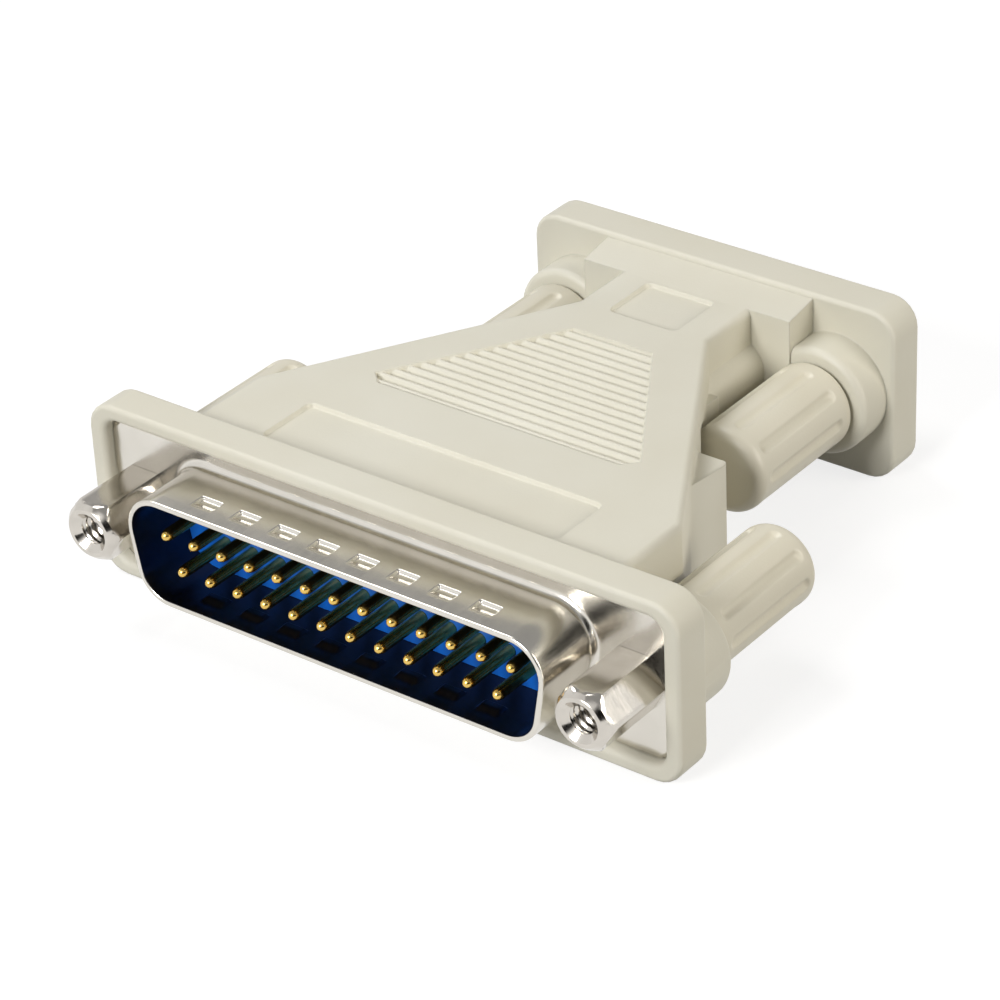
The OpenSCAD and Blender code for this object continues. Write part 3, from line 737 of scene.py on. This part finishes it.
def buildGrip(end, side, name):
    g, e = gripSetup, gripSetup[end]
    x, start, radius = side * screwGap[end] / 2, e["start"], e["radius"]
    stop, rounding, groove = start + g["length"], g["round"], g["grooveRadius"]
    first, last = start + g["grooveEnd"], stop - g["grooveEnd"]
    low, high = first - groove - 0.2, last + groove + 0.2
    close = [g["closeStep"] * k for k in range(g["closeRows"])]
    zone = g["closeStep"] * g["closeRows"]
    profile = [(0.002, start), (1.2, start), (radius - g["bossFlat"], start)]
    profile += arcPoints((radius - g["bossRound"], start + g["bossRound"]), g["bossRound"], -75, 0, 5)
    profile += [(radius, low + c) for c in close]
    profile += [(radius, y) for y in spaced(low + zone, high - zone, g["middleRows"])[1:-1]]
    profile += [(radius, high - c) for c in reversed(close) if high - c < stop - rounding]
    profile += arcPoints((radius - rounding, stop - rounding), rounding, 0, 86, 12)
    profile += [(radius - rounding - 0.2, stop), (0.6, stop), (0.002, stop)]

    def grooved(r, y, angle):
        if r < radius - groove:
            return r
        step = 2 * math.pi / g["grooves"]
        turn = (angle - math.pi / 2 + step / 2) % step - step / 2
        away = math.hypot(turn * radius, max(first - y, y - last, 0.0))
        if away >= g["grooveReach"]:
            return r
        depth = math.sqrt(max(groove ** 2 - away ** 2, 0.0)) - groove + g["grooveDepth"]
        return r - 0.5 * (depth + math.sqrt(depth * depth + g["grooveBlend"]))

    rings = turnedRings(x, profile, g["grooves"] * g["aroundGroove"], grooved, e["place"])
    return ringMesh(name, rings)


for end in ("plug", "socket"):
    for side, hand in ((-1, "left"), (1, "right")):
        gripName = f"grip{end.title()}{hand.title()}"
        addPiece(gripName, buildGrip(end, side, gripName), gripPlastic, f"{end}_{hand}_thumbscrew",
                 [f"{end}_{hand}_grip"], sharpAngle=50)
print("grips made")


# socket screws, whose threaded ends show beside the 9-way skirt

screwSetup = {
    "radius": 1.42, "tip": -5.2, "tipFlat": 0.6, "tipRadius": 0.95, "neck": 0.83, "neckRadius": 1.3,
    "collar": 1.95, "collarRadius": 1.9, "collarEnd": 2.75, "head": 8.35, "headRadius": 1.9,
    "headEnd": 14.35, "pitch": 0.635, "depth": 0.34,
    "point": (0.42, 0.9),  # how much thinner the tip is, and how fast it widens
    "fade": (0.5, 0.05),  # where the thread runs out before the neck
    "rows": 100, "around": 48,
}


def buildScrew(side, name):
    s = screwSetup
    x = side * screwGap["socket"] / 2
    profile = [(s["tipFlat"], s["tip"]), (s["tipRadius"], s["tip"])]
    profile += [(s["radius"], y) for y in spaced(s["tip"] + 0.04, s["neck"], s["rows"])]
    profile += [(s["neckRadius"], s["neck"]), (s["neckRadius"], s["collar"]),
                (s["collarRadius"], s["collar"]), (s["collarRadius"], s["collarEnd"]),
                (s["radius"], s["collarEnd"]), (s["radius"], s["head"]),
                (s["headRadius"], s["head"]), (s["headRadius"], s["headEnd"])]

    def threaded(r, y, angle):
        if y > s["neck"] - 1e-6 or r < s["radius"]:
            return r
        taper = min(r, s["radius"] - s["point"][0] + (y - s["tip"]) * s["point"][1])
        fade = 1 - smoothStep(s["neck"] - s["fade"][0], s["neck"] - s["fade"][1], y)
        return min(taper, r - s["depth"] * threadWave(y, angle, s["pitch"]) * fade)

    return ringMesh(name, turnedRings(x, profile, s["around"], threaded, atSocket, hand=-1))


for side, hand in ((-1, "left"), (1, "right")):
    screwName = f"screwSocket{hand.title()}"
    addPiece(screwName, buildScrew(side, screwName), screwSteel, f"socket_{hand}_thumbscrew",
             [f"socket_{hand}_screw"], sharpAngle=40)
print("screws made")


# wires inside the hood, one colour for each core

wireSetup = {
    "radius": 0.4, "pins": [8, 3, 2, 20, 7, 6, 4, 5, 22], "start": 7.65, "lead": 10.65,
    "lane": 13.95, "laneEnd": 27.0, "drop": 30.0, "end": 41.25, "laneGap": 0.92,
    "bend": 1.2,  # length that each bend takes from a straight run
    "bendSteps": 6, "around": 14,
    "colours": ["3a2a20", "b8322c", "d9772b", "d8bf3a", "3f8a4a", "2f5fa8", "7a4a94", "8b8b88", "e4e1d8"],
}


def softRoute(points, bend, steps):  # rounds the corners of a route
    route = [points[0]]
    for a, b, c in zip(points, points[1:], points[2:]):
        near = b + (a - b).normalized() * min(bend, (a - b).length / 2)
        far = b + (c - b).normalized() * min(bend, (c - b).length / 2)
        for t in spaced(0, 1, steps):
            route.append(near.lerp(b, t).lerp(b.lerp(far, t), t))
    route.append(points[-1])
    return route


def tubeRings(route, radius, count):
    rings = []
    across = Vector((0, 0, 1))
    for k, point in enumerate(route):
        way = (route[min(k + 1, len(route) - 1)] - route[max(k - 1, 0)]).normalized()
        across = (across - way * across.dot(way)).normalized()
        other = way.cross(across)
        ring = []
        for i in range(count):
            a = 2 * math.pi * i / count
            ring.append(point + (across * math.cos(a) + other * math.sin(a)) * radius)
        rings.append(ring)
    return rings


def buildWires(setup):
    for number, pin in enumerate(setup["pins"], 1):
        px, pz = contactSpot(pin, topRow["plug"])
        sx, sz = contactSpot(number, topRow["socket"])
        lane = (5 - number) * setup["laneGap"]
        points = [at(px, setup["start"], pz), at(px, setup["lead"], pz), at(px, setup["lane"], lane),
                  at(sx, setup["laneEnd"], lane), at(sx, setup["drop"], sz), at(sx, setup["end"], sz)]
        route = softRoute(points, setup["bend"] * mm, setup["bendSteps"])
        mesh = ringMesh(f"wireCore{number}", tubeRings(route, setup["radius"] * mm, setup["around"]))
        colour = setup["colours"][number - 1]
        jacket = mouldedPlastic(f"wireVinylExtruded{number}", {  # extruded vinyl: even colour, soft gloss
            "colour": colour, "second": colour, "cloudMm": 3.0, "patchMm": 1.0,
            "roughness": (0.38, 0.5), "grainMm": 0.3, "grain": 0.08, "ior": 1.53})
        addPiece(f"wireCore{number}", mesh, jacket, "adapter", ["wire_harness"],
                 sharpAngle=50)


buildWires(wireSetup)
print("wires made")


# solids that keep their own shape

solidFinish = {
    "plug_front_insulator": (insulatorBlue, 0.1),  # the number is the rounding of its edges
    "socket_front_insulator": (insulatorBlue, 0.14),
    "plug_rear_insulator": (insulatorBlue, 0),
    "socket_rear_insulator": (insulatorBlue, 0),
    "plug_rear_shell": (shellNickel, 0),
    "socket_rear_shell": (shellNickel, 0),
    **{f"socket_contact_{number}": (contactGold, 0) for number in range(1, 10)},
    "plug_left_screw": (screwSteel, 0),
    "plug_right_screw": (screwSteel, 0),
}


def dressNode(name, finish, rounding):
    node = cadNodes[name]
    node.data.materials.clear()
    node.data.materials.append(finish)
    weld = node.modifiers.new("weld", "WELD")
    weld.merge_threshold = weldGap
    if rounding:
        plane = node.modifiers.new("plane", "DECIMATE")
        plane.decimate_type = "DISSOLVE"
        plane.angle_limit = math.radians(0.5)
        edge = node.modifiers.new("edge", "BEVEL")
        edge.width = rounding * mm
        edge.segments = 2
        edge.limit_method = "ANGLE"
        edge.angle_limit = math.radians(40)
        evenNormals(node)
    node.data.shade_smooth()
    node.data.set_sharp_from_angle(angle=math.radians(40))


for name, (finish, rounding) in solidFinish.items():
    dressNode(name, finish, rounding)
print("solids dressed")


# stage

stageSetup = {
    "floorSize": 6.0,
    "floorDrop": 0.02,  # millimetres under the part, so that no faces coincide
    "floor": "9c9b98",
    "seenFloor": "959595",  # what the camera and the metals see of it, under the glow
    "seenLevel": 0.78,  # the floor's own white for them, so that the shadow stays faint
    "worldLevel": 0.11,
    # grey room above the back, white at the horizon
    "room": {"way": (0.1, 0.3, 1.0), "tone": "a4a4a4", "span": (0.46, 0.66)},
    # dark room on the camera's side, which the metals mirror
    "cameraSide": {"way": (0.7409, -0.6608, 0.1201), "tone": "141210", "span": (0.80, 0.92)},
    "aim": (0, 0, 0.008),
    "key": {"from": (-0.04, -0.54, 0.32), "size": 0.22, "watts": 2.85, "colour": "ffffff"},
    "top": {"from": (-0.34, 0.06, 0.52), "size": 0.30, "watts": 1.65, "colour": "ffffff"},
    "fill": {"from": (0.52, 0.18, 0.26), "size": 0.36, "watts": 2.05, "colour": "fffaf0"},
}


def seenRays(tree):  # camera, glossy and transmission rays together
    path = addNode(tree, "ShaderNodeLightPath").outputs
    first = addNode(tree, "ShaderNodeMath", {0: path["Is Camera Ray"], 1: path["Is Glossy Ray"]},
                    operation="ADD")
    both = addNode(tree, "ShaderNodeMath", {0: first.outputs[0], 1: path["Is Transmission Ray"]},
                   operation="ADD", use_clamp=True)
    return both.outputs[0]


def buildFloor(setup):
    finish, tree = newFinish("studioPaper")  # plain matt paper
    paper = addNode(tree, "ShaderNodeBsdfDiffuse", {"Color": linear(setup["floor"])})
    pale = addNode(tree, "ShaderNodeBsdfDiffuse", {"Color": linear(setup["seenFloor"])})
    glow = addNode(tree, "ShaderNodeEmission", {"Strength": setup["seenLevel"]})
    shown = addNode(tree, "ShaderNodeAddShader", {0: pale.outputs[0], 1: glow.outputs[0]})
    mix = addNode(tree, "ShaderNodeMixShader",
                  {0: seenRays(tree), 1: paper.outputs[0], 2: shown.outputs[0]})
    addNode(tree, "ShaderNodeOutputMaterial", {"Surface": mix.outputs[0]})
    bm = bmesh.new()
    bmesh.ops.create_grid(bm, x_segments=8, y_segments=8, size=setup["floorSize"] / 2)
    mesh = meshFrom(bm, "studioFloor")
    mesh.materials.append(finish)
    floor = bpy.data.objects.new("studioFloor", mesh)
    floor.location.z = -setup["floorDrop"] * mm
    scene.collection.objects.link(floor)


def buildWorld(setup):
    world = bpy.data.worlds.new("studioWorld")
    scene.world = world
    world.use_nodes = True
    tree = world.node_tree
    tree.nodes.clear()
    plain = addNode(tree, "ShaderNodeBackground",
                    {"Color": linear("ffffff"), "Strength": setup["worldLevel"]})
    way = addNode(tree, "ShaderNodeTexCoord").outputs["Generated"]
    tones = []
    for part in (setup["room"], setup["cameraSide"]):
        slant = addNode(tree, "ShaderNodeVectorMath", {0: way, 1: part["way"]}, operation="DOT_PRODUCT")
        ramp = addNode(tree, "ShaderNodeValToRGB", {"Fac": slant.outputs["Value"]})
        twoTones(ramp.color_ramp, "ffffff", part["tone"], part["span"])
        tones.append(ramp.outputs["Color"])
    both = addNode(tree, "ShaderNodeVectorMath", {0: tones[0], 1: tones[1]}, operation="MULTIPLY")
    seen = addNode(tree, "ShaderNodeBackground", {"Color": both.outputs["Vector"], "Strength": 1.0})
    mix = addNode(tree, "ShaderNodeMixShader",
                  {0: seenRays(tree), 1: plain.outputs[0], 2: seen.outputs[0]})
    addNode(tree, "ShaderNodeOutputWorld", {"Surface": mix.outputs[0]})


def addLamp(name, setup, aim):
    data = bpy.data.lights.new(name, "AREA")
    data.energy = setup["watts"]
    data.color = linear(setup["colour"])[:3]
    data.size = setup["size"]
    lamp = bpy.data.objects.new(name, data)
    lamp.location = setup["from"]
    way = Vector(aim) - lamp.location
    lamp.rotation_euler = way.to_track_quat("-Z", "Y").to_euler()
    scene.collection.objects.link(lamp)


buildFloor(stageSetup)
buildWorld(stageSetup)
for lampName in ("key", "top", "fill"):
    addLamp(f"{lampName}Softbox", stageSetup[lampName], stageSetup["aim"])
scene.view_settings.view_transform = "Standard"
print("stage set")
